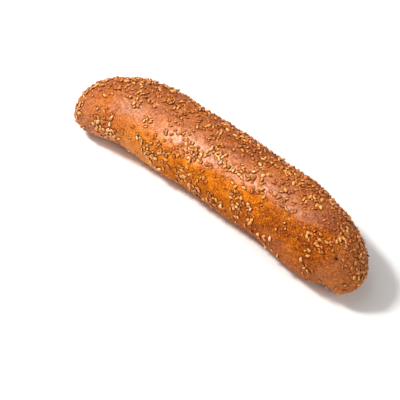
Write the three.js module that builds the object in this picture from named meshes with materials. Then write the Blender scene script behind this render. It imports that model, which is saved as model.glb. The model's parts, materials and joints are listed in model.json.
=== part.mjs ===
// A sesame breadstick: one long, soft, egg-washed roll, baked in one piece on a flat tray.
// Millimetres, +Z up. The roll lies along X on its flat base at Z = 0, and the origin is below
// the middle of its bounding box. The blunt end points to -X and the slimmer nose to +X.

import * as THREE from 'three';
import { mergeVertices } from 'three/addons/utils/BufferGeometryUtils.js';

// The roll as a whole.
const LENGTH = 250;
const WIDTH = 55;
const HEIGHT = 42.5;

// From mid length to the nose the roll grows slimmer and taller, and the other way round to the
// blunt end, by these shares.
const WIDTH_CHANGE = -0.05;
const HEIGHT_CHANGE = 0.06;

// Its section: a dome above the widest level, and below it a rounded edge that the tray cuts flat.
const WIDEST_LEVEL = 0.49; // height of the widest line, as a share of the height
const EDGE_DEPTH = 1.28; // how far the edge would reach below that line without a tray, as a share
const SIDE_POWER = 0.96; // below 1 makes the sides fuller than an ellipse
const DOME_POWER = 0.94; // the same, for the top
const EDGE_POWER = 0.9; // the same, for the edge next to the tray

// From above, the roll is bent like a bow, with its inner side to -Y, and the blunt end hooks
// further inwards. The sections turn only part of the way with the bend, because dough shears.
const BOW = 12;
const SECTION_TURN = 0.4;

// The rounded ends. A roundness of 2 is an ellipse, and more is blunter. The widest line sinks
// towards each tip, to the tip's level.
const END_START = 0.52; // where an end takes its own shape, as a share of the half length
const bluntEnd = { reach: 40, roundness: 2.25, hook: 8, tipLevel: 0.3, rings: 12 };
const nose = { reach: 50, roundness: 2.1, hook: 0, tipLevel: 0.3, rings: 12 };

// Slow swells left by rolling the dough by hand: waves along the half length, and turns round it.
const swells = [
  { height: 0.45, waves: 1.2, turns: 1, phase: 0.4 },
  { height: 0.35, waves: 1.9, turns: 2, phase: 2.1 },
  { height: 0.2, waves: 3.1, turns: 1, phase: 4.4 },
];

// Single lumps and dents: their place along X, the angle round the section (0 faces +Y, and a
// right angle faces up), how far they stand out, and their reach along the roll and round it.
const INNER_EDGE = Math.PI + 0.5; // low on the inner side, next to the tray
const OUTER_EDGE = 0.62; // the upper edge of the outer side
const lumps = [
  { x: -85, angle: INNER_EDGE, height: -4.0, reach: 17, spread: 0.6 },
  { x: -24, angle: INNER_EDGE, height: -1.0, reach: 9, spread: 0.6 },
  { x: 16, angle: INNER_EDGE, height: 1.9, reach: 13, spread: 0.6 },
  { x: 48, angle: INNER_EDGE, height: -1.5, reach: 14, spread: 0.6 },
  { x: 96, angle: INNER_EDGE, height: 0.6, reach: 6, spread: 0.6 },
  { x: 107, angle: INNER_EDGE, height: -3.8, reach: 7, spread: 0.6 },
  { x: 120, angle: INNER_EDGE, height: 1.6, reach: 6, spread: 0.7 },
  { x: -102, angle: OUTER_EDGE, height: -2.2, reach: 12, spread: 0.6 },
  { x: -62, angle: OUTER_EDGE, height: 1.6, reach: 22, spread: 0.6 },
  { x: 58, angle: OUTER_EDGE, height: 1.9, reach: 18, spread: 0.6 },
  { x: 97, angle: OUTER_EDGE, height: -1.0, reach: 10, spread: 0.6 },
  { x: 72, angle: 2.44, height: -1.2, reach: 34, spread: 0.35 },
];

// The mesh: the sides of each ring, and the rings along the body between the two ends.
const SIDES = 56;
const BODY_RINGS = 28;
const RINGS = bluntEnd.rings + BODY_RINGS + nose.rings;
const BODY_START = -LENGTH / 2 + bluntEnd.reach;
const BODY_END = LENGTH / 2 - nose.reach;

const crust = new THREE.MeshStandardMaterial({ color: 0xc4743a, roughness: 0.35, metalness: 0 });

// Raises the size of a value to a power and keeps its sign.
function signedPower(value, power) {
  return Math.sign(value) * Math.abs(value) ** power;
}

// A rounded end, at a share of the way from its tip (0) to the body (1): how far it reaches out
// of the body, in millimetres, and how full its section is, from 0 to 1.
function endStation(end, share) {
  const angle = share * (Math.PI / 2);
  const power = 2 / end.roundness;
  return {
    out: end.reach * signedPower(Math.cos(angle), power),
    fullness: signedPower(Math.sin(angle), power),
  };
}

// Where a ring lies along X, and how full its section is. Ring 0 is the blunt tip.
function station(ring) {
  if (ring < bluntEnd.rings) {
    const { out, fullness } = endStation(bluntEnd, ring / bluntEnd.rings);
    return { x: BODY_START - out, fullness };
  }
  if (ring > RINGS - nose.rings) {
    const { out, fullness } = endStation(nose, (RINGS - ring) / nose.rings);
    return { x: BODY_END + out, fullness };
  }
  const share = (ring - bluntEnd.rings) / BODY_RINGS;
  return { x: THREE.MathUtils.lerp(BODY_START, BODY_END, share), fullness: 1 };
}

// What a property of the ends adds at t, which runs from -1 at the blunt tip to 1 at the tip of
// the nose: nothing along the middle, and all of it at a tip.
function endEffect(t, atBluntTip, atNose) {
  const share = Math.max(0, (Math.abs(t) - END_START) / (1 - END_START)) ** 2;
  return share * (t < 0 ? atBluntTip : atNose);
}

// The middle line's Y at t.
function middleLine(t) {
  return BOW * (1 - t ** 2) - endEffect(t, bluntEnd.hook, nose.hook);
}

// The angle that the middle line makes with X at t.
function middleAngle(t) {
  const step = 0.001;
  const rise = middleLine(t + step) - middleLine(t - step);
  return Math.atan2(rise, step * LENGTH);
}

// The height of the widest line at t, as a share of the height.
function widestLevel(t) {
  return WIDEST_LEVEL + endEffect(t, bluntEnd.tipLevel - WIDEST_LEVEL, nose.tipLevel - WIDEST_LEVEL);
}

// How far the crust stands out of the plain section at x and t, at an angle round the section:
// 0 faces +Y, and a right angle faces up.
function unevenness(x, t, angle) {
  const swell = swells.reduce(
    (sum, { height, waves, turns, phase }) =>
      sum + height * Math.sin(2 * Math.PI * waves * t + turns * angle + phase),
    0,
  );
  return lumps.reduce((sum, lump) => {
    const along = ((x - lump.x) / lump.reach) ** 2;
    const round = (2 - 2 * Math.cos(angle - lump.angle)) / lump.spread ** 2;
    return sum + lump.height * Math.exp(-along - round);
  }, swell);
}

// The point of the crust on one ring, at an angle round it.
function crustPoint(ring, angle) {
  const { x, fullness } = station(ring);
  const t = (2 * x) / LENGTH;
  const halfWidth = (WIDTH / 2) * (1 + WIDTH_CHANGE * t);
  const top = HEIGHT * (1 + HEIGHT_CHANGE * t);
  const level = widestLevel(t) * top;

  const across = signedPower(Math.cos(angle), SIDE_POWER);
  const rise = Math.sin(angle);
  const dome = (top - level) * signedPower(rise, DOME_POWER);
  const edge = EDGE_DEPTH * level * signedPower(rise, EDGE_POWER);

  const outward = unevenness(x, t, angle) * fullness;
  const side = halfWidth * fullness * across + outward * Math.cos(angle);
  const z = level + fullness * (rise > 0 ? dome : edge) + outward * rise;
  const turn = SECTION_TURN * middleAngle(t);
  return new THREE.Vector3(
    x - side * Math.sin(turn),
    middleLine(t) + side * Math.cos(turn),
    Math.max(0, z),
  );
}

// The whole roll: a sphere with its poles at the two tips, whose rings are moved out to the crust.
function breadstickGeometry() {
  const sphere = new THREE.SphereGeometry(1, SIDES, RINGS).rotateZ(Math.PI / 2);
  sphere.deleteAttribute('normal');
  sphere.deleteAttribute('uv');
  const geometry = mergeVertices(sphere);
  const position = geometry.getAttribute('position');
  for (let i = 0; i < position.count; i += 1) {
    const { x, y, z } = new THREE.Vector3().fromBufferAttribute(position, i).normalize();
    const ring = Math.round((Math.acos(THREE.MathUtils.clamp(-x, -1, 1)) / Math.PI) * RINGS);
    const moved = crustPoint(ring, Math.atan2(z, y));
    position.setXYZ(i, moved.x, moved.y, moved.z);
  }

  geometry.computeBoundingBox();
  const middle = geometry.boundingBox.getCenter(new THREE.Vector3());
  geometry.translate(-middle.x, -middle.y, 0);
  geometry.computeVertexNormals();
  return geometry;
}

const breadstick = new THREE.Mesh(breadstickGeometry(), crust);
breadstick.name = 'breadstick';

const model = new THREE.Group();
model.add(breadstick);

export default model;
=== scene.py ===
"""A sesame breadstick: a soft, glossy, egg-washed roll with sesame seeds baked onto its crust.

Metres, +Z up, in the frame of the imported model. The roll lies along X, its blunt end to -X and its
slimmer nose to +X, bent so that its inner side faces -Y. An angle round the roll is in degrees,
from 0 on the outer side (+Y) over 90 at the crown to 180 on the inner side (-Y).
"""
import json
import math

import bmesh
import bpy
import numpy as np
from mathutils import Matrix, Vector, noise
from mathutils.bvhtree import BVHTree

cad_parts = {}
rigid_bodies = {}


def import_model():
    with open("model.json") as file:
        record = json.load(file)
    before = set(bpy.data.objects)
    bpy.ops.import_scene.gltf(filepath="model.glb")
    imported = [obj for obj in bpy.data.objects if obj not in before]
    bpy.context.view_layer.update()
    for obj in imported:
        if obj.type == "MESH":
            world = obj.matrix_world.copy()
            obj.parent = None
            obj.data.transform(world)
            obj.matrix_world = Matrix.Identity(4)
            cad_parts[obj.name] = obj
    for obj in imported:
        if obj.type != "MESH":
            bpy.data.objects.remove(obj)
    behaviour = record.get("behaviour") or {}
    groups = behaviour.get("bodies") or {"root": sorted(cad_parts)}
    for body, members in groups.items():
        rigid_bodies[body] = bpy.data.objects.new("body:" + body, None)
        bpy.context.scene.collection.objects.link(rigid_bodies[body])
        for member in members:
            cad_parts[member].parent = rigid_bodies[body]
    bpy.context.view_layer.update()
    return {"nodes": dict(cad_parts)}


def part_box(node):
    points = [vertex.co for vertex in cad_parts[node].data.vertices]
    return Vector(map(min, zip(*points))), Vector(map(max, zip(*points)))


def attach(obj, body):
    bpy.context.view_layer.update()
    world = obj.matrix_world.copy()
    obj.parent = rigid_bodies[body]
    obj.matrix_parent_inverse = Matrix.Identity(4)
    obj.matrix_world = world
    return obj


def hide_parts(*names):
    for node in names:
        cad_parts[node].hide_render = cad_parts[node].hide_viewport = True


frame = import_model()

MM = 0.001
LOW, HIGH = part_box("breadstick")
LENGTH = HIGH.x - LOW.x
HEIGHT = HIGH.z - LOW.z

# The size of the crust's mesh, and the reliefs that the oven left on it: (size, height) of each
# in millimetres.
MESH_SIZE = 0.74 * MM
SMOOTHING_ROUNDS = 12
LUMPS = (24, 0.35)
DENTS = (7, 0.28)
BLISTERS = (2.7, 0.65)
WRINKLES = (2.0, 0.34)
BASE_FADE = 3 * MM  # the reliefs fade out over this height above the tray

# A sesame seed, and the rings and sides of its mesh.
SEED_LENGTH = 3.6 * MM
SEED_WIDTH = 2.5 * MM
SEED_THICKNESS = 1.85 * MM
SEED_SIDES = 8
SEED_RINGS = 6

# How the seeds lie on the crust.
SEED_SPACING = 1.5 * MM
SEEDS_PER_AREA = 235000  # the most per square metre, where they lie thickest
SEED_LAYOUT = 11  # another number lays the seeds in other places
# The crust within RING_WIDTH of a seed is painted darker, as painted shade round the seed.
RING_WIDTH = 0.85 * MM  # how far from a seed the crust is darker
BURIED = 0.45 * MM  # a seed's side this far below the crust leaves no ring on it
DIMPLE_DEPTH = 0.25 * MM  # how far the crust sinks next to a seed

# How much the seeds differ: width and thickness as shares of the length's own change, and how
# much of its tone's lift a seed takes.
WIDTH_RANGE = (0.9, 1.22)
THICKNESS_RANGE = (0.7, 1.25)
LIFT_RANGE = (0.4, 1.2)

# The three shapes of seed: name, taper towards the point, plumpness, and sideways twist.
SEED_SHAPES = [
    ("sesame seed A", 0.75, 1.0, 0.0),
    ("sesame seed B", 0.95, 0.85, 0.12),
    ("sesame seed C", 0.6, 1.15, -0.1),
]

# Each random choice about a seed has a number of its own, so that none follows another.
CHOICE_NUMBERS = {
    "share": 101,
    "lean": 102,
    "roll": 103,
    "spin": 104,
    "length": 105,
    "shape": 106,
    "lift": 107,
    "tone": 108,
    "width": 109,
    "thickness": 110,
}

# The tones that the seeds baked to. Colours are the light and the dark end, shares say which
# part of the seeds has the tone, and sizes are the smallest and largest. Tilt is the most that a
# seed leans, in degrees, lift is how many of its thicknesses it stands off the crust, and ring is
# how dark the painted shade on the crust next to it is, which also sets how far the crust sinks there.
SEED_TONES = [
    {
        "piece": "seeds_pale",
        "finish": "pale sesame",
        "colours": ((1.0, 0.62, 0.28), (0.9, 0.45, 0.16)),
        "shares": (-1.0, 0.17),
        "sizes": (0.8, 1.12),
        "tilt": 26,
        "lift": 0.27,
        "ring": 0.95,
    },
    {
        "piece": "seeds_golden",
        "finish": "golden sesame",
        "colours": ((0.94, 0.46, 0.12), (0.76, 0.28, 0.045)),
        "shares": (0.17, 0.5),
        "sizes": (0.75, 1.1),
        "tilt": 38,
        "lift": 0.27,
        "ring": 0.95,
    },
    {
        "piece": "seeds_toasted",
        "finish": "toasted sesame",
        "colours": ((0.7, 0.27, 0.055), (0.46, 0.15, 0.022)),
        "shares": (0.5, 0.78),
        "sizes": (0.7, 1.08),
        "tilt": 42,
        "lift": 0.2,
        "ring": 1.0,
    },
    {
        "piece": "seeds_glazed",
        "finish": "glazed sesame",
        "colours": ((0.7, 0.21, 0.028), (0.48, 0.125, 0.015)),
        "shares": (0.78, 2.0),
        "sizes": (0.65, 1.05),
        "tilt": 36,
        "lift": -0.1,
        "ring": 0.7,
    },
]

# Where the seeds fell thickly or thinly: millimetres from mid length, angle round the roll,
# reach in millimetres, and what the patch adds to the density.
SEED_PATCHES = [
    (-94, 172, 9, 0.7),
    (-81, 163, 7, 0.5),
    (-43, 146, 9, 0.5),
    (-70, 148, 4, 0.8),
    (-61, 150, 5, 0.7),
    (-52, 137, 5, 0.7),
    (96, 170, 6, 1.0),
    (83, 130, 6, 0.5),
    (89, 110, 5, 0.4),
    (-22, 105, 9, 0.35),
    (-9, 113, 11, 0.6),
    (-8, 117, 3, -1.5),
    (-9, 161, 12, 0.45),
    (29, 110, 11, 0.6),
    (-21, 150, 8, 0.35),
    (27, 149, 8, 0.35),
    (-82, 79, 14, 0.35),
    (102, 100, 13, 0.5),
    (117, 127, 8, 0.4),
    (122, 147, 5, 0.5),
    (112, 164, 10, -1.0),
    (116, 140, 7, -0.4),
    (114, 133, 3.5, 0.9),
    (103, 188, 5, 0.9),
    (-110, 60, 16, 0.35),
    (-66, 120, 15, -0.5),
    (-84, 113, 11, -0.35),
    (-105, 143, 11, -0.8),
    (-52, 103, 8, -0.3),
    (18, 134, 13, -0.5),
    (78, 165, 22, -0.6),
    (100, 165, 12, -0.5),
    (58, 150, 10, -0.3),
    (109, 117, 3, -1.5),
]

# Where the seeds stayed pale, in the same form; a share of 1 would leave all of them pale.
PALE_PATCHES = [
    (-94, 172, 8, 0.4),
    (-81, 163, 8, 0.3),
    (-102, 147, 10, -0.4),
    (-109, 152, 8, 0.1),
    (-9, 113, 9, 0.35),
    (29, 110, 9, 0.3),
    (102, 96, 10, 0.2),
    (120, 150, 6, 0.2),
    (112, 125, 20, -0.3),
    (106, 75, 25, -0.1),
    (120, 160, 14, -0.15),
    (-120, 80, 16, -0.5),
    (-60, 160, 14, 0.12),
    (-40, 60, 40, -0.14),
    (-95, 65, 25, -0.14),
    (60, 60, 40, -0.08),
    (-10, 155, 16, -0.15),
    (70, 125, 25, -0.1),
]

# Where the oven browned the crust more, or less, in the same form, and where it is painted paler as
# light.
BROWNING_PATCHES = [
    (-120, 110, 14, 0.5),
    (-122, 78, 14, 0.8),
    (-75, 122, 26, 0.2),
    (-48, 122, 14, 0.1),
    (-72, 45, 14, 0.25),
    (5, 46, 18, 0.2),
    # These two lighten the lower flank near the blunt end: painted light that lifts its shaded side.
    (-60, 155, 34, -0.34),
    (-62, 158, 22, -0.18),
    (111, 168, 9, -0.15),
    (114, 142, 10, 0.2),
    (-75, 155, 14, 0.06),
    (0, 145, 18, 0.1),
    (25, 140, 14, 0.08),
    (98, 142, 14, 0.14),
    (6, 122, 16, 0.16),
    (90, 172, 30, -0.1),
    (52, 134, 24, 0.34),
    (92, 126, 22, 0.22),
    (118, 170, 14, -0.25),
    (-118, 170, 14, 0.35),
    (62, 98, 20, -0.25),
    (-5, 104, 20, -0.06),
    (30, 100, 20, -0.06),
    (60, 60, 50, -0.2),
    (112, 78, 18, -0.12),
    (95, 168, 22, -0.06),
]

# Where the brushed egg wash lies thicker and, below zero, where it ran off.
EGG_WASH_PATCHES = [
    (48, 130, 11, -0.9),
    (66, 127, 11, -1.0),
    (84, 124, 12, -1.0),
    (102, 116, 13, -0.8),
    (10, 138, 16, -0.6),
    (-118, 100, 16, -0.7),
    (-64, 118, 22, -0.9),
    (-76, 124, 10, -0.35),
    (-50, 120, 12, -0.1),
    (-25, 119, 9, 0.25),
    (-96, 115, 15, -0.5),
    (-102, 99, 12, -0.25),
    (-72, 101, 13, 0.35),
    (5, 122, 12, -0.25),
    (-112, 95, 18, -0.35),
    (68, 97, 14, 0.4),
    (40, 102, 14, 0.45),
    (-12, 101, 14, 0.25),
]

# Where the skin stayed dull and pinkish, like floured dough, and, below zero, where it did not.
DULL_PATCHES = [
    (96, 125, 16, -0.3),
    (92, 142, 13, -0.35),
    (15, 168, 26, -0.4),
    (24, 80, 22, -0.15),
    (-75, 140, 18, 0.3),
    (-104, 135, 16, 0.5),
    (-60, 152, 26, 0.42),
    (-24, 60, 12, 0.3),
    (112, 163, 13, 0.3),
    (113, 142, 10, 0.35),
    (-95, 66, 16, 0.6),
    (-55, 60, 22, 0.4),
    (0, 55, 18, 0.15),
    (45, 55, 25, 0.35),
    (95, 60, 18, 0.3),
]

# Where the crust's tiny bubbles are painted paler, as painted highlights on them.
BUBBLE_HIGHLIGHT_PATCHES = [
    (45, 128, 15, 1.0),
    (72, 126, 17, 1.2),
    (98, 122, 15, 1.2),
    (15, 133, 15, 0.9),
    (-12, 132, 12, 0.7),
]

# Burnt crumbs that stuck to the egg wash.
BURNT_SPECKS = [
    (109, 117, 1.1, 1.5),
    (67, 114, 1.5, 0.6),
    (91, 134, 1.2, 0.6),
    (55, 156, 1.3, 0.5),
]

# The crust's colours from pale gold to dark brown, and the tones that lie over them.
CRUST_COLOURS = [
    (0.0, (0.92, 0.33, 0.025)),
    (0.3, (0.785, 0.205, 0.003)),
    (0.6, (0.48, 0.107, 0.002)),
    (1.0, (0.22, 0.04, 0.005)),
]
DULL_SKIN = ((0.42, 0.118, 0.032), (0.62, 0.212, 0.078))
TRAY_BROWN = ((0.36, 0.15, 0.045), (0.52, 0.25, 0.085))
# The colour of the painted shade on the crust next to a seed.
PAINTED_SEED_SHADE = (0.14, 0.012, 0.0)
BURNT = (0.012, 0.01, 0.009)
# The colour of the painted shade on a seed's lower side.
SEED_UNDERSIDE_SHADE = (0.25, 0.036, 0.003)
SEED_POINT = (0.34, 0.14, 0.04)

# The lights, which all face the roll: name, direction, distance, size and brightness.
LIGHTS = [
    ("overhead softbox", (-0.38, -0.05, 0.9), 1.0, 0.95, 1.08),
    ("key light", (-0.6, -0.22, 0.77), 1.2, 0.2, 114),
    ("right fill", (0.72, -0.2, 0.66), 1.5, 0.9, 3.0),
]
LIGHT_COLOUR = (1, 0.975, 0.93)
ROOM_COLOUR = (1.0, 0.97, 0.93)
ROOM_BRIGHTNESS = 0.17
FLOOR_COLOUR = (0.92, 0.935, 0.96)
FLOOR_ROUGHNESS = 0.6
FLOOR_SIZE = 6

# Where the camera stands, and how far from the middle of the roll's box it aims.
CAMERA_AZIMUTH = math.radians(42.9)
CAMERA_ELEVATION = math.radians(50.35)
CAMERA_DISTANCE = 1.0
CAMERA_LENS = 133.4
AIM_OFFSET = Vector((3.9, -28.7, -2.2)) * MM


# ---------------------------------------------------------------- meshes

def link_object(name, data):
    """A new object in the scene that holds the data."""
    piece = bpy.data.objects.new(name, data)
    bpy.context.scene.collection.objects.link(piece)
    return piece


def apply_modifiers(piece):
    """Turns the piece into the plain mesh that its modifiers make of it."""
    graph = bpy.context.evaluated_depsgraph_get()
    mesh = bpy.data.meshes.new_from_object(piece.evaluated_get(graph), depsgraph=graph)
    piece.modifiers.clear()
    piece.data = mesh
    mesh.name = piece.name
    return piece


def even_copy(node_name, piece_name):
    """A CAD node as one smooth, evenly meshed surface."""
    mesh = bpy.data.meshes.new(piece_name)
    surface = bmesh.new()
    surface.from_mesh(frame["nodes"][node_name].data)
    bmesh.ops.remove_doubles(surface, verts=surface.verts, dist=0.01 * MM)
    bmesh.ops.join_triangles(
        surface, faces=surface.faces, angle_face_threshold=0.7, angle_shape_threshold=0.9
    )
    surface.to_mesh(mesh)
    surface.free()

    piece = link_object(piece_name, mesh)
    rounded = piece.modifiers.new("rounded", "SUBSURF")
    rounded.levels = rounded.render_levels = 2
    remeshed = piece.modifiers.new("remeshed", "REMESH")
    remeshed.mode = "VOXEL"
    remeshed.voxel_size = MESH_SIZE
    smoothed = piece.modifiers.new("smoothed", "SMOOTH")
    smoothed.factor = 0.5
    smoothed.iterations = SMOOTHING_ROUNDS
    return apply_modifiers(piece)


def points_of(mesh):
    """The vertices of a mesh, one row each."""
    points = np.zeros(len(mesh.vertices) * 3)
    mesh.vertices.foreach_get("co", points)
    return points.reshape(-1, 3)


def normals_of(mesh):
    """The vertex normals of a mesh, one row each."""
    normals = np.zeros(len(mesh.vertices) * 3, np.float32)
    mesh.vertex_normals.foreach_get("vector", normals)
    return normals.reshape(-1, 3).astype(float)


def move_points(mesh, points):
    """Puts the vertices of a mesh at the points."""
    mesh.vertices.foreach_set("co", points.ravel())
    mesh.update()


def store(mesh, name, values):
    """Keeps one number for each vertex in an attribute of the mesh."""
    attribute = mesh.attributes.get(name) or mesh.attributes.new(name, "FLOAT", "POINT")
    attribute.data.foreach_set("value", values.astype(np.float32))


def smooth_step(low, high, values):
    """0 below low, 1 above high, and a smooth change between them."""
    share = np.clip((values - low) / (high - low), 0, 1)
    return share * share * (3 - 2 * share)


def towards_ends(points, start, full):
    """0 up to start and 1 beyond full, both as shares of the length off the roll's middle."""
    return smooth_step(start * LENGTH, full * LENGTH, np.abs(points[:, 0]))


def towards_nose(points, start, full):
    """The same towards the nose only: a share below 0 lies on the blunt end's side."""
    return smooth_step(start * LENGTH, full * LENGTH, points[:, 0])


def angle_round(normals):
    """The angle round the roll that each normal has, in degrees, from -90 under the outer side."""
    angle = np.degrees(np.arctan2(normals[:, 2], normals[:, 1]))
    return np.where(angle < -90, angle + 360, angle)


def noise_at(points, size_mm, place=0.0):
    """Smooth noise of that size at each point, from -1 to 1. Another place gives another pattern."""
    scale = 1 / (size_mm * MM)
    offset = Vector((place, 2.7 * place, -1.3 * place))
    return np.array([noise.noise(Vector(p) * scale + offset) for p in points])


def blister_at(points, size_mm):
    """Round bubbles of that size under the skin: 1 at the middle of each, 0 between them."""
    scale = 1 / (size_mm * MM)
    nearest = np.array([noise.voronoi(Vector(p) * scale)[0][0] for p in points])
    return 1 - smooth_step(0.1, 0.55, nearest)


# ---------------------------------------------------------------- crust

def raise_reliefs(mesh):
    """The lumps, dents, blisters and wrinkles of the crust, which fade out towards the tray."""
    points, normals = points_of(mesh), normals_of(mesh)
    points[:, 2] -= points[:, 2].min()
    fade = smooth_step(0.2 * MM, BASE_FADE, points[:, 2])
    off_crown = 1 - smooth_step(80, 105, angle_round(normals))
    off_crown = np.maximum(off_crown, towards_ends(points, 0.28, 0.42))
    blistered = smooth_step(-0.3, 0.35, noise_at(points, 14, 5.0)) * (0.32 + 0.68 * off_crown)
    relief = LUMPS[1] * noise_at(points, LUMPS[0])
    relief += DENTS[1] * noise_at(points, DENTS[0], 3.0) * (0.55 + 0.45 * off_crown)
    blisters = blister_at(points, BLISTERS[0]) * blistered
    relief += BLISTERS[1] * blisters
    wrinkled = 0.36 + 0.64 * off_crown + 0.4 * towards_ends(points, 0.34, 0.44)
    relief += WRINKLES[1] * noise_at(points, WRINKLES[0], 9.0) * wrinkled
    points += normals * (relief * fade * MM)[:, None]
    points[:, 2] = np.maximum(points[:, 2], 0)
    move_points(mesh, points)
    store(mesh, "blisters", blisters * fade)


def patch_effect(points, normals, patches):
    """What patches, given as in SEED_PATCHES, add at each point."""
    angles = angle_round(normals)
    total = np.zeros(len(points))
    for from_middle, angle, reach, change in patches:
        off = np.abs(points[:, 0] - from_middle * MM) / MM + np.abs(angles - angle)
        centre = points[np.argmin(off)]
        distance = np.linalg.norm(points - centre, axis=1) / (reach * MM)
        total += change * np.exp(-(distance**2))
    return total


def store_seed_density(mesh):
    """How thickly the seeds lie at each point of the crust, from 0 to 1, and how pale they are."""
    points, normals = points_of(mesh), normals_of(mesh)
    angles = angle_round(normals)
    clusters = smooth_step(-0.15, 0.45, noise_at(points, 12, 1.0) + 0.5 * noise_at(points, 6, 2.0))
    outer_side = 1 - smooth_step(70, 100, angles)
    ends = towards_ends(points, 0.36, 0.47)
    density = 0.13 + 0.62 * clusters + 0.44 * outer_side + 0.15 * ends
    density += patch_effect(points, normals, SEED_PATCHES) * (0.35 + 0.65 * clusters)
    above_tray = smooth_step(2.5 * MM, 8 * MM, points[:, 2])
    outwards = smooth_step(-0.55, -0.1, normals[:, 2])
    store(mesh, "seed_density", np.clip(density, 0.01, 1) * above_tray * outwards)
    paleness = patch_effect(points, normals, PALE_PATCHES) - 0.16 * (1 - clusters) - 0.06 * outer_side
    store(mesh, "paleness", paleness)


def crown_ridge(points, angles):
    """1 along the top of the roll's middle part, and 0 off it."""
    ridge = np.exp(-(((angles - 104) / 16) ** 2))
    return ridge * (1 - towards_ends(points, 0.26, 0.38))


def store_browning(mesh):
    """How brown the oven made each point of the crust: 0 is pale gold and 1 is dark brown."""
    points, normals = points_of(mesh), normals_of(mesh)
    angles = angle_round(normals)
    nose_half = towards_nose(points, 0.1, 0.3)
    outer_side = 1 - smooth_step(85, 112, angles)
    golden_flank = np.exp(-(((angles - 135) / 22) ** 2) - ((points[:, 0] - 4 * MM) / (45 * MM)) ** 2)
    tips = towards_ends(points, 0.4, 0.49)
    browning = 0.44 + 0.24 * nose_half + 0.24 * outer_side - 0.16 * golden_flank
    browning += 0.16 * tips * (points[:, 0] < 0) - 0.14 * tips * (points[:, 0] > 0)
    browning += 0.16 * noise_at(points, 22, 4.0) + 0.07 * noise_at(points, 7, 6.0)
    browning += patch_effect(points, normals, BROWNING_PATCHES)
    browning += 0.05 * crown_ridge(points, angles)
    store(mesh, "browning", np.clip(browning, 0, 1))


def store_dullness(mesh):
    """How dull and pinkish the skin stayed at each point of the crust, from 0 to 1."""
    points, normals = points_of(mesh), normals_of(mesh)
    angles = angle_round(normals)
    off_flank = 1 - smooth_step(110, 128, angles)
    tip_skin = towards_ends(points, 0.37, 0.46) * np.where(points[:, 0] > 0, 0.85, 1.0)
    low_skin = smooth_step(138, 156, angles) * towards_nose(points, 0.16, 0.28)
    dullness = 0.19 * off_flank + 0.14 * crown_ridge(points, angles) + 0.7 * tip_skin + 0.5 * low_skin
    dullness += patch_effect(points, normals, DULL_PATCHES)
    store(mesh, "dullness", np.clip(dullness, 0, 1))


def store_bubbles_and_specks(mesh):
    """Where the crust's tiny bubbles are painted paler as highlights, and where burnt crumbs stuck to it,
    from 0 to 1.
    """
    points, normals = points_of(mesh), normals_of(mesh)
    store(mesh, "bubbled", np.clip(patch_effect(points, normals, BUBBLE_HIGHLIGHT_PATCHES), 0, 1))
    store(mesh, "burnt", np.clip(patch_effect(points, normals, BURNT_SPECKS), 0, 1))


def store_egg_wash(mesh):
    """How thickly the egg wash was brushed on at each point of the crust, from 0 to 1."""
    points, normals = points_of(mesh), normals_of(mesh)
    angles = angle_round(normals)
    band_shift = 19 * towards_nose(points, 0.02, 0.18)
    blunt_half = 1 - towards_nose(points, -0.28, -0.12)
    off_band = (angles + band_shift - 122) / (20 + 22 * blunt_half)
    brushed = smooth_step(35, 92, angles) * (1 - smooth_step(0, 1, off_band))
    brushed *= 1 - 0.6 * towards_nose(points, 0.34, 0.44)
    brushed += 0.6 * smooth_step(135, 160, angles) * blunt_half
    brushed += patch_effect(points, normals, EGG_WASH_PATCHES)
    store(mesh, "egg_wash", np.clip(brushed * (0.9 + 0.35 * noise_at(points, 9, 8.0)), 0, 1))


def store_underside(mesh):
    """Where the crust lay flat on the tray, from 0 to 1."""
    points, normals = points_of(mesh), normals_of(mesh)
    store(mesh, "underside", smooth_step(0.55, 0.92, -normals[:, 2]) * (points[:, 2] < 4 * MM))


def press_seeds_in(mesh, seed_pieces):
    """Marks the crust close to a seed, where it is painted darker as shade, and sinks it there a little.
    """
    points, normals = points_of(mesh), normals_of(mesh)
    near = np.zeros(len(points))
    for piece, tone in zip(seed_pieces, SEED_TONES):
        seeds = bmesh.new()
        seeds.from_mesh(piece.data)
        tree = BVHTree.FromBMesh(seeds)
        seeds.free()
        found = [tree.find_nearest(Vector(point), 3 * RING_WIDTH) for point in points]
        distance = np.array([1.0 if away is None else away for _, _, _, away in found])
        nearest = np.array([place if place is not None else (0, 0, 1) for place, _, _, _ in found])
        height = np.sum((nearest - points) * normals, axis=1)
        ring = tone["ring"] * (1 - smooth_step(0.35 * RING_WIDTH, RING_WIDTH, distance))
        near = np.maximum(near, ring * smooth_step(-BURIED, 0, height))
    store(mesh, "near_seed", near)
    points -= normals * (DIMPLE_DEPTH * near)[:, None]
    points[:, 2] = np.maximum(points[:, 2], 0)
    move_points(mesh, points)


# ---------------------------------------------------------------- seeds

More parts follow.
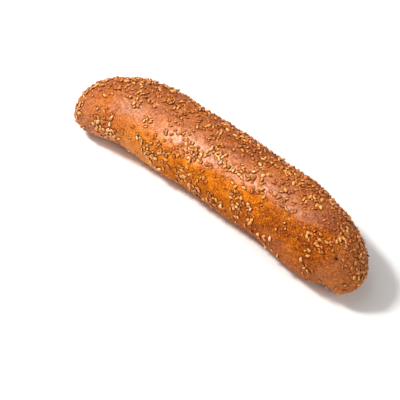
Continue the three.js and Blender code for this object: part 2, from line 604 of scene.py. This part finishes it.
def seed_mesh(name, taper, plumpness, twist):
    """One sesame seed: a flat teardrop along X, with its point at +X. Rings run from point to end."""
    angles = [math.pi * (ring + 1) / (SEED_RINGS + 1) for ring in range(SEED_RINGS)]
    vertices = [(SEED_LENGTH / 2, 0, 0)]
    for angle in angles:
        swell = math.sin(angle) * math.sin(angle / 2) ** taper
        x = math.cos(angle) * SEED_LENGTH / 2
        bend = twist * math.sin(angle) ** 2 * SEED_WIDTH
        for side in range(SEED_SIDES):
            turn = 2 * math.pi * side / SEED_SIDES
            y = math.cos(turn) * swell * SEED_WIDTH / 2 + bend
            z = math.sin(turn) * swell * plumpness * SEED_THICKNESS / 2
            vertices.append((x, y, z))
    vertices.append((-SEED_LENGTH / 2, 0, 0))

    last = len(vertices) - 1
    faces = []
    for side in range(SEED_SIDES):
        after = (side + 1) % SEED_SIDES
        faces.append((0, 1 + side, 1 + after))
        for ring in range(SEED_RINGS - 1):
            here = 1 + ring * SEED_SIDES
            beyond = here + SEED_SIDES
            faces.append((here + side, beyond + side, beyond + after, here + after))
        end = 1 + (SEED_RINGS - 1) * SEED_SIDES
        faces.append((end + side, last, end + after))

    mesh = bpy.data.meshes.new(name)
    mesh.from_pydata(vertices, [], faces)
    surface = bmesh.new()
    surface.from_mesh(mesh)
    bmesh.ops.recalc_face_normals(surface, faces=surface.faces)
    surface.to_mesh(mesh)
    surface.free()
    mesh.polygons.foreach_set("use_smooth", [True] * len(mesh.polygons))
    points = points_of(mesh)
    store(mesh, "seed_point", smooth_step(0.5, 1.0, points[:, 0] / (SEED_LENGTH / 2)))
    store(mesh, "seed_top", points[:, 2] / (SEED_THICKNESS / 2) * 0.5 + 0.5)
    return mesh


def lay_out_uv(piece, seed):
    """Gives each seed its own square of the UV map, its top in one half and its bottom in the other."""
    mesh = piece.data
    seeds = len(mesh.polygons) // len(seed.polygons)
    columns = math.ceil(math.sqrt(seeds))
    layer = mesh.uv_layers.new(name="OFBake")
    template = seed_uv_template(seed)
    order = np.arange(seeds)
    corner = np.stack([order % columns, order // columns], 1) / columns
    uv = corner[:, None, :] + template[None, :, :] / columns
    layer.uv.foreach_set("vector", uv.astype(np.float32).ravel())


def seed_uv_template(seed):
    """Each corner's place on one seed's square, from the seed's own shape."""
    points = points_of(seed)
    template = np.zeros((len(seed.loops), 2))
    for face in seed.polygons:
        below = 0.5 if face.center.z < 0 else 0.0
        for loop in face.loop_indices:
            x, y, _ = points[seed.loops[loop].vertex_index]
            across = 0.25 + 0.42 * y / SEED_WIDTH
            template[loop] = (below + across, 0.5 + 0.9 * x / SEED_LENGTH)
    return template


def scatter_inputs(tree):
    """Declares what the scattering tree takes and gives."""
    tree.interface.new_socket("Geometry", in_out="OUTPUT", socket_type="NodeSocketGeometry")
    for name, kind in (
        ("Geometry", "Geometry"),
        ("Seeds", "Collection"),
        ("Spacing", "Float"),
        ("Most Per Area", "Float"),
        ("From Share", "Float"),
        ("To Share", "Float"),
        ("Smallest", "Float"),
        ("Largest", "Float"),
        ("Lift", "Float"),
        ("Tilt", "Float"),
        ("Layout", "Int"),
        ("Finish", "Material"),
    ):
        tree.interface.new_socket(name, in_out="INPUT", socket_type=f"NodeSocket{kind}")


def stored_number(tree, name):
    """What the crust holds at each point under the name."""
    node = add_node(tree, "GeometryNodeInputNamedAttribute", data_type="FLOAT")
    node.inputs["Name"].default_value = name
    return node.outputs["Attribute"]


def seed_places(tree, start):
    """Points on the crust, as thick as its seed_density says, before the tones are told apart."""
    points = add_node(tree, "GeometryNodeDistributePointsOnFaces", distribute_method="POISSON")
    feed(tree, points.inputs["Mesh"], start["Geometry"])
    feed(tree, points.inputs["Distance Min"], start["Spacing"])
    feed(tree, points.inputs["Density Max"], start["Most Per Area"])
    feed(tree, points.inputs["Density Factor"], stored_number(tree, "seed_density"))
    feed(tree, points.inputs["Seed"], start["Layout"])
    return points.outputs


def places_of_tone(tree, start, points):
    """The points whose random share, less the paleness there, is this tone's."""
    share = random_number(tree, 0, 1, "share")
    share = math_node(tree, "SUBTRACT", share, stored_number(tree, "paleness"))
    above = math_node(tree, "GREATER_THAN", share, start["From Share"])
    below = math_node(tree, "LESS_THAN", share, start["To Share"])
    kept = add_node(tree, "GeometryNodeSeparateGeometry", domain="POINT")
    feed(tree, kept.inputs["Geometry"], points)
    feed(tree, kept.inputs["Selection"], math_node(tree, "MULTIPLY", above, below))
    return kept.outputs["Selection"]


def rotation_from(tree, **angles):
    """A rotation by an angle about each named axis."""
    euler = add_node(tree, "ShaderNodeCombineXYZ")
    for axis, angle in angles.items():
        feed(tree, euler.inputs[axis], angle)
    rotation = add_node(tree, "FunctionNodeEulerToRotation")
    feed(tree, rotation.inputs["Euler"], euler.outputs["Vector"])
    return rotation.outputs["Rotation"]


def turned(tree, rotation, turn):
    """The rotation, followed by a turn about the seed's own axes."""
    node = add_node(tree, "FunctionNodeRotateRotation", rotation_space="LOCAL")
    feed(tree, node.inputs["Rotation"], rotation)
    feed(tree, node.inputs["Rotate By"], turn)
    return node.outputs["Rotation"]


def seed_rotation(tree, start, upright):
    """How a seed lies: spun on the crust at random, and then leaning by up to the tilt."""
    lean = math_node(tree, "MULTIPLY", random_number(tree, -1, 1, "lean"), start["Tilt"])
    roll = math_node(tree, "MULTIPLY", random_number(tree, -1, 1, "roll"), start["Tilt"])
    spin = random_number(tree, 0, 2 * math.pi, "spin")
    spun = turned(tree, upright, rotation_from(tree, Z=spin))
    return turned(tree, spun, rotation_from(tree, X=roll, Y=lean))


def seed_scale(tree, start):
    """How large a seed is along its length, width and thickness."""
    length = random_number(tree, start["Smallest"], start["Largest"], "length")
    width = math_node(tree, "MULTIPLY", length, random_number(tree, *WIDTH_RANGE, "width"))
    thickness = math_node(tree, "MULTIPLY", length, random_number(tree, *THICKNESS_RANGE, "thickness"))
    scale = add_node(tree, "ShaderNodeCombineXYZ")
    for axis, size in zip("XYZ", (length, width, thickness)):
        feed(tree, scale.inputs[axis], size)
    return scale.outputs["Vector"]


def lifted_seeds(tree, start, seeds):
    """The seeds, raised off the crust or sunk into it."""
    up = add_node(tree, "ShaderNodeCombineXYZ")
    lift = math_node(tree, "MULTIPLY", random_number(tree, *LIFT_RANGE, "lift"), start["Lift"])
    feed(tree, up.inputs["Z"], lift)
    lifted = add_node(tree, "GeometryNodeTranslateInstances")
    feed(tree, lifted.inputs["Instances"], seeds)
    feed(tree, lifted.inputs["Translation"], up.outputs["Vector"])
    return lifted.outputs["Instances"]


def scatter_tree():
    """Geometry nodes that lay seeds on a surface, thickly where its seed_density is high."""
    tree = bpy.data.node_groups.new("seeds on crust", "GeometryNodeTree")
    scatter_inputs(tree)
    start = add_node(tree, "NodeGroupInput").outputs
    finish = add_node(tree, "NodeGroupOutput").inputs

    shapes = add_node(tree, "GeometryNodeCollectionInfo", transform_space="ORIGINAL")
    feed(tree, shapes.inputs["Collection"], start["Seeds"])
    shapes.inputs["Separate Children"].default_value = True
    shapes.inputs["Reset Children"].default_value = True

    places = seed_places(tree, start)
    placed = add_node(tree, "GeometryNodeInstanceOnPoints")
    feed(tree, placed.inputs["Points"], places_of_tone(tree, start, places["Points"]))
    feed(tree, placed.inputs["Instance"], shapes.outputs["Instances"])
    placed.inputs["Pick Instance"].default_value = True
    last_shape = len(SEED_SHAPES) - 1
    feed(tree, placed.inputs["Instance Index"], random_whole(tree, 0, last_shape, "shape"))
    feed(tree, placed.inputs["Rotation"], seed_rotation(tree, start, places["Rotation"]))
    feed(tree, placed.inputs["Scale"], seed_scale(tree, start))

    toned = add_node(tree, "GeometryNodeStoreNamedAttribute", data_type="FLOAT", domain="INSTANCE")
    toned.inputs["Name"].default_value = "seed_tone"
    feed(tree, toned.inputs["Geometry"], lifted_seeds(tree, start, placed.outputs["Instances"]))
    feed(tree, toned.inputs["Value"], random_number(tree, 0, 1, "tone"))
    real = add_node(tree, "GeometryNodeRealizeInstances")
    feed(tree, real.inputs["Geometry"], toned.outputs["Geometry"])
    painted = add_node(tree, "GeometryNodeSetMaterial")
    feed(tree, painted.inputs["Geometry"], real.outputs["Geometry"])
    feed(tree, painted.inputs["Material"], start["Finish"])
    feed(tree, finish["Geometry"], painted.outputs["Geometry"])
    return tree


def random_number(tree, low, high, choice):
    """A random number for each seed, from low to high, of the choice's own."""
    node = add_node(tree, "FunctionNodeRandomValue", data_type="FLOAT")
    numbers = [socket for socket in node.inputs if socket.type == "VALUE"]
    feed(tree, numbers[0], low)
    feed(tree, numbers[1], high)
    node.inputs["Seed"].default_value = CHOICE_NUMBERS[choice]
    return next(socket for socket in node.outputs if socket.type == "VALUE")


def random_whole(tree, low, high, choice):
    """A random whole number for each seed, from low to high, of the choice's own."""
    node = add_node(tree, "FunctionNodeRandomValue", data_type="INT")
    numbers = [socket for socket in node.inputs if socket.type == "INT" and socket.name in ("Min", "Max")]
    feed(tree, numbers[0], low)
    feed(tree, numbers[1], high)
    node.inputs["Seed"].default_value = CHOICE_NUMBERS[choice]
    return next(socket for socket in node.outputs if socket.type == "INT")


def seed_shapes():
    """The shapes of seed that are scattered, in a collection that isn't part of the scene."""
    shapes = bpy.data.collections.new("seed shapes")
    for name, taper, plumpness, twist in SEED_SHAPES:
        shapes.objects.link(bpy.data.objects.new(name, seed_mesh(name, taper, plumpness, twist)))
    return shapes


def scatter_seeds(tone, crust, tree, shapes, finish):
    """One piece that holds all the seeds of a tone, laid on the crust."""
    piece = link_object(tone["piece"], crust.data.copy())
    modifier = piece.modifiers.new("scatter", "NODES")
    modifier.node_group = tree
    values = {
        "Seeds": shapes,
        "Spacing": SEED_SPACING,
        "Most Per Area": SEEDS_PER_AREA,
        "From Share": tone["shares"][0],
        "To Share": tone["shares"][1],
        "Smallest": tone["sizes"][0],
        "Largest": tone["sizes"][1],
        "Lift": tone["lift"] * SEED_THICKNESS,
        "Tilt": math.radians(tone["tilt"]),
        "Layout": SEED_LAYOUT,
        "Finish": finish,
    }
    for item in tree.interface.items_tree:
        if item.name in values and item.in_out == "INPUT":
            modifier[item.identifier] = values[item.name]
    apply_modifiers(piece)
    paint(piece, finish)
    piece.data.polygons.foreach_set("material_index", [0] * len(piece.data.polygons))
    return piece


def paint(piece, finish):
    """Gives the whole piece one material."""
    piece.data.materials.clear()
    piece.data.materials.append(finish)


# ---------------------------------------------------------------- materials

def add_node(tree, kind, **settings):
    """A new node of that kind, with its settings."""
    node = tree.nodes.new(kind)
    for name, value in settings.items():
        setattr(node, name, value)
    return node


def feed(tree, socket, value):
    """Joins an output to the socket, or sets the socket to a number or a colour."""
    if isinstance(value, bpy.types.NodeSocket):
        tree.links.new(value, socket)
    elif isinstance(value, tuple):
        socket.default_value = (*value, 1)
    else:
        socket.default_value = value


def math_node(tree, operation, *values, clamp=False):
    """The result of the operation on the values, held between 0 and 1 if clamp is set."""
    node = add_node(tree, "ShaderNodeMath", operation=operation, use_clamp=clamp)
    for socket, value in zip(node.inputs, values):
        feed(tree, socket, value)
    return node.outputs["Value"]


def stretch(tree, value, low, high):
    """The value, stretched so that low becomes 0 and high becomes 1, and held between them."""
    node = add_node(tree, "ShaderNodeMapRange", clamp=True)
    feed(tree, node.inputs["Value"], value)
    node.inputs["From Min"].default_value = low
    node.inputs["From Max"].default_value = high
    return node.outputs["Result"]


def mix(tree, share, first, second):
    """The first colour, turning into the second as the share goes from 0 to 1."""
    node = add_node(tree, "ShaderNodeMix", data_type="RGBA")
    feed(tree, node.inputs["Factor"], share)
    colours = [socket for socket in node.inputs if socket.type == "RGBA"]
    feed(tree, colours[0], first)
    feed(tree, colours[1], second)
    return next(socket for socket in node.outputs if socket.type == "RGBA")


def ramp(tree, value, stops):
    """A colour for each value, from (place, colour) stops."""
    node = add_node(tree, "ShaderNodeValToRGB")
    elements = node.color_ramp.elements
    while len(elements) < len(stops):
        elements.new(0.5)
    for element, (place, colour) in zip(elements, stops):
        element.position = place
        element.color = (*colour, 1)
    feed(tree, node.inputs["Fac"], value)
    return node.outputs["Color"]


def attribute(tree, name):
    """What the piece's mesh holds at each point under the name."""
    node = add_node(tree, "ShaderNodeAttribute", attribute_name=name, attribute_type="GEOMETRY")
    return node.outputs["Fac"]


def new_material(name):
    """An empty material: its tree, its Principled shader and the piece's own coordinates."""
    material = bpy.data.materials.new(name)
    material.use_nodes = True
    tree = material.node_tree
    tree.nodes.clear()
    shader = add_node(tree, "ShaderNodeBsdfPrincipled")
    output = add_node(tree, "ShaderNodeOutputMaterial")
    tree.links.new(shader.outputs["BSDF"], output.inputs["Surface"])
    place = add_node(tree, "ShaderNodeTexCoord").outputs["Object"]
    return material, tree, shader, place


def toasting_group():
    """The uneven browning and the fine grain that the oven leaves on crust and seeds alike."""
    tree = bpy.data.node_groups.new("toasting", "ShaderNodeTree")
    for name, kind in (("Place", "Vector"), ("Patch Size", "Float"), ("Grain Size", "Float")):
        tree.interface.new_socket(name, in_out="INPUT", socket_type=f"NodeSocket{kind}")
    for name in ("Patches", "Grain", "Blisters", "Creases"):
        tree.interface.new_socket(name, in_out="OUTPUT", socket_type="NodeSocketFloat")
    start = add_node(tree, "NodeGroupInput").outputs
    finish = add_node(tree, "NodeGroupOutput").inputs

    def noise_texture(size, detail):
        """Soft noise of that size."""
        node = add_node(tree, "ShaderNodeTexNoise")
        feed(tree, node.inputs["Vector"], start["Place"])
        feed(tree, node.inputs["Scale"], math_node(tree, "DIVIDE", 1.0, size))
        node.inputs["Detail"].default_value = detail
        return node.outputs["Fac"]

    patches = noise_texture(start["Patch Size"], 3)
    grain = noise_texture(start["Grain Size"], 1)
    bubbles = add_node(tree, "ShaderNodeTexVoronoi", feature="SMOOTH_F1")
    feed(tree, bubbles.inputs["Vector"], start["Place"])
    feed(tree, bubbles.inputs["Scale"], math_node(tree, "DIVIDE", 0.8, start["Grain Size"]))
    bubbles.inputs["Smoothness"].default_value = 0.2
    folds = noise_texture(math_node(tree, "MULTIPLY", start["Patch Size"], 0.55), 2)
    off_fold = math_node(tree, "ABSOLUTE", math_node(tree, "SUBTRACT", folds, 0.5))
    feed(tree, finish["Creases"], stretch(tree, off_fold, 0.035, 0.005))
    feed(tree, finish["Patches"], stretch(tree, patches, 0.3, 0.7))
    feed(tree, finish["Grain"], stretch(tree, grain, 0.3, 0.7))
    feed(tree, finish["Blisters"], stretch(tree, bubbles.outputs["Distance"], 0.42, 0.12))
    return tree


def toasting(tree, group, place, patch_size, grain_size):
    """The toasting group's marks in a material, with patches and grain of those sizes."""
    node = add_node(tree, "ShaderNodeGroup", node_tree=group)
    feed(tree, node.inputs["Place"], place)
    node.inputs["Patch Size"].default_value = patch_size
    node.inputs["Grain Size"].default_value = grain_size
    return node.outputs


def bump(tree, height, distance, strength):
    """The normal of a surface that the height raises by up to the distance."""
    node = add_node(tree, "ShaderNodeBump")
    feed(tree, node.inputs["Height"], height)
    node.inputs["Distance"].default_value = distance
    node.inputs["Strength"].default_value = strength
    return node.outputs["Normal"]


def crust_material(group):
    """Egg-washed crust: amber to brown, glossy, finely wrinkled, and matt where it lay on the tray, with
    painted light on its raised grain, blisters and bubbles and painted shade in its creases and next to
    the seeds.
    """
    material, tree, shader, place = new_material("egg-washed crust")
    marks = toasting(tree, group, place, 5.5 * MM, 1.2 * MM)
    browning = math_node(tree, "MULTIPLY_ADD", marks["Patches"], 0.28, attribute(tree, "browning"))
    # The crust is painted lighter where its grain and blisters rise: partly tone, and partly painted
    # light on the bumps.
    browning = math_node(tree, "MULTIPLY_ADD", marks["Grain"], -0.38, browning)
    browning = math_node(tree, "MULTIPLY_ADD", attribute(tree, "blisters"), -0.28, browning)
    # Painted highlights: inside the bubble patches the tiny bubbles are painted paler.
    bubbles = math_node(tree, "MULTIPLY", marks["Blisters"], attribute(tree, "bubbled"))
    browning = math_node(tree, "MULTIPLY_ADD", bubbles, -0.6, browning)
    browning = math_node(tree, "ADD", browning, 0.1)
    unwashed = math_node(tree, "MULTIPLY_ADD", attribute(tree, "egg_wash"), -0.75, 1.0)
    # Painted shade: the creases, which the bump sinks, are painted browner where the skin is unwashed.
    creases = math_node(tree, "MULTIPLY", marks["Creases"], marks["Patches"])
    creases = math_node(tree, "MULTIPLY", creases, unwashed)
    browning = math_node(tree, "MULTIPLY_ADD", creases, 0.5, browning)
    colour = ramp(tree, browning, CRUST_COLOURS)
    dullness = math_node(tree, "MULTIPLY", attribute(tree, "dullness"), 0.78)
    skin = mix(tree, marks["Grain"], *DULL_SKIN)
    colour = mix(tree, dullness, colour, skin)
    # Painted shade: the crust next to each seed is darkened, broken up by the grain.
    painted_seed_shade = math_node(tree, "MULTIPLY_ADD", marks["Grain"], -0.8, 1.2)
    painted_seed_shade = math_node(tree, "MULTIPLY", attribute(tree, "near_seed"), painted_seed_shade, clamp=True)
    colour = mix(tree, painted_seed_shade, colour, PAINTED_SEED_SHADE)
    tray_brown = mix(tree, marks["Patches"], *TRAY_BROWN)
    colour = mix(tree, attribute(tree, "underside"), colour, tray_brown)
    colour = mix(tree, attribute(tree, "burnt"), colour, BURNT)
    feed(tree, shader.inputs["Base Color"], colour)

    feed(tree, shader.inputs["Roughness"], math_node(tree, "MULTIPLY_ADD", marks["Patches"], 0.15, 0.6))
    shader.inputs["Specular IOR Level"].default_value = 0.1
    wash = math_node(tree, "MULTIPLY_ADD", marks["Grain"], 0.9, 0.48)
    wash = math_node(tree, "MULTIPLY", attribute(tree, "egg_wash"), wash)
    clear = math_node(tree, "MULTIPLY_ADD", attribute(tree, "near_seed"), -1.0, 1.0)
    wash = math_node(tree, "MULTIPLY", wash, clear, clamp=True)
    feed(tree, shader.inputs["Coat Weight"], wash)
    shader.inputs["Coat Roughness"].default_value = 0.45
    shader.inputs["Coat IOR"].default_value = 1.82
    height = math_node(tree, "MULTIPLY_ADD", marks["Blisters"], 0.6, marks["Grain"])
    height = math_node(tree, "MULTIPLY_ADD", creases, -1.0, height)
    feed(tree, shader.inputs["Normal"], bump(tree, height, 0.3 * MM, 1.0))
    return material


def sesame_material(name, group, light, dark):
    """Baked sesame: each seed has its own tone between light and dark, a painted shade on its lower side
    where it meets the crust, and a browner point.
    """
    material, tree, shader, place = new_material(name)
    marks = toasting(tree, group, place, 1.3 * MM, 0.35 * MM)
    tone = math_node(tree, "MULTIPLY_ADD", marks["Patches"], 0.35, attribute(tree, "seed_tone"))
    tone = math_node(tree, "MULTIPLY", tone, 0.75)
    colour = mix(tree, tone, light, dark)
    # Painted shade: each seed is darkened on its lower side, where it meets the crust.
    low = math_node(tree, "SUBTRACT", 1.0, stretch(tree, attribute(tree, "seed_top"), 0.2, 0.62))
    underside_shade = math_node(tree, "MULTIPLY", low, 0.9)
    colour = mix(tree, underside_shade, colour, SEED_UNDERSIDE_SHADE)
    point = math_node(tree, "MULTIPLY", attribute(tree, "seed_point"), 0.45)
    colour = mix(tree, point, colour, SEED_POINT)
    feed(tree, shader.inputs["Base Color"], colour)
    feed(tree, shader.inputs["Roughness"], math_node(tree, "MULTIPLY_ADD", marks["Grain"], 0.12, 0.3))
    shader.inputs["Specular IOR Level"].default_value = 0.3
    shader.inputs["Coat Weight"].default_value = 0.4
    shader.inputs["Coat Roughness"].default_value = 0.24
    feed(tree, shader.inputs["Normal"], bump(tree, marks["Grain"], 0.04 * MM, 0.4))
    return material


def plain_material(name, colour, roughness):
    """A material of one colour and roughness."""
    material, _, shader, _ = new_material(name)
    shader.inputs["Base Color"].default_value = (*colour, 1)
    shader.inputs["Roughness"].default_value = roughness
    return material


# ---------------------------------------------------------------- floor, light and camera

def build_floor():
    """A wide, pale floor under the roll."""
    bpy.ops.mesh.primitive_plane_add(size=FLOOR_SIZE)
    floor = bpy.context.object
    floor.name = "floor"
    floor.data.materials.append(plain_material("pale floor", FLOOR_COLOUR, FLOOR_ROUGHNESS))


def aimed(piece, place, target):
    """The lamp or camera, put at the place and turned to face the target."""
    piece.location = place
    piece.rotation_euler = (target - place).to_track_quat("-Z", "Y").to_euler()
    return piece


def soft_light(name, direction, distance, size, brightness):
    """A square light that faces the roll from a direction. Its face is as bright at any size."""
    data = bpy.data.lights.new(name, "AREA")
    data.size = size
    data.energy = brightness * math.pi * size**2
    data.color = LIGHT_COLOUR
    target = Vector((0, 0, HEIGHT / 2))
    return aimed(link_object(name, data), target + Vector(direction).normalized() * distance, target)


def build_lights():
    """The lights, and the faint glow of the room round them."""
    for light in LIGHTS:
        soft_light(*light)
    world = bpy.data.worlds.new("studio")
    world.use_nodes = True
    background = world.node_tree.nodes["Background"]
    background.inputs["Color"].default_value = (*ROOM_COLOUR, 1)
    background.inputs["Strength"].default_value = ROOM_BRIGHTNESS
    bpy.context.scene.world = world
    bpy.context.scene.view_settings.view_transform = "Standard"


def build_camera():
    """The camera, high over the inner side and nearer the nose, facing the roll."""
    data = bpy.data.cameras.new("camera")
    data.lens = CAMERA_LENS
    aim = (LOW + HIGH) / 2 + AIM_OFFSET
    direction = Vector(
        (
            math.sin(CAMERA_AZIMUTH) * math.cos(CAMERA_ELEVATION),
            -math.cos(CAMERA_AZIMUTH) * math.cos(CAMERA_ELEVATION),
            math.sin(CAMERA_ELEVATION),
        )
    )
    camera = aimed(link_object("camera", data), aim + direction * CAMERA_DISTANCE, aim)
    bpy.context.scene.camera = camera


# ---------------------------------------------------------------- the breadstick

def build_crust():
    """The crust with its reliefs, and what the oven and the brush left on it, before the seeds."""
    crust = even_copy("breadstick", "crust")
    raise_reliefs(crust.data)
    store_seed_density(crust.data)
    store_browning(crust.data)
    store_dullness(crust.data)
    store_bubbles_and_specks(crust.data)
    store_egg_wash(crust.data)
    store_underside(crust.data)
    return crust


def build_seeds(crust, group):
    """The seeds on the crust, one piece for each tone, in the order of SEED_TONES."""
    tree = scatter_tree()
    shapes = seed_shapes()
    seed = shapes.objects[SEED_SHAPES[0][0]].data
    pieces = []
    for tone in SEED_TONES:
        finish = sesame_material(tone["finish"], group, *tone["colours"])
        piece = scatter_seeds(tone, crust, tree, shapes, finish)
        lay_out_uv(piece, seed)
        pieces.append(piece)
    for shape in list(shapes.objects):
        bpy.data.objects.remove(shape)
    bpy.data.collections.remove(shapes)
    return pieces


def build_breadstick():
    """The whole roll: its crust, and the seeds pressed into it."""
    group = toasting_group()
    crust = build_crust()
    seeds = build_seeds(crust, group)
    press_seeds_in(crust.data, seeds)
    crust.data.polygons.foreach_set("use_smooth", [True] * len(crust.data.polygons))
    paint(crust, crust_material(group))

    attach(crust, "root")
    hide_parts("breadstick")
    for piece in seeds:
        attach(piece, "root")


build_camera()
build_lights()
build_floor()
build_breadstick()
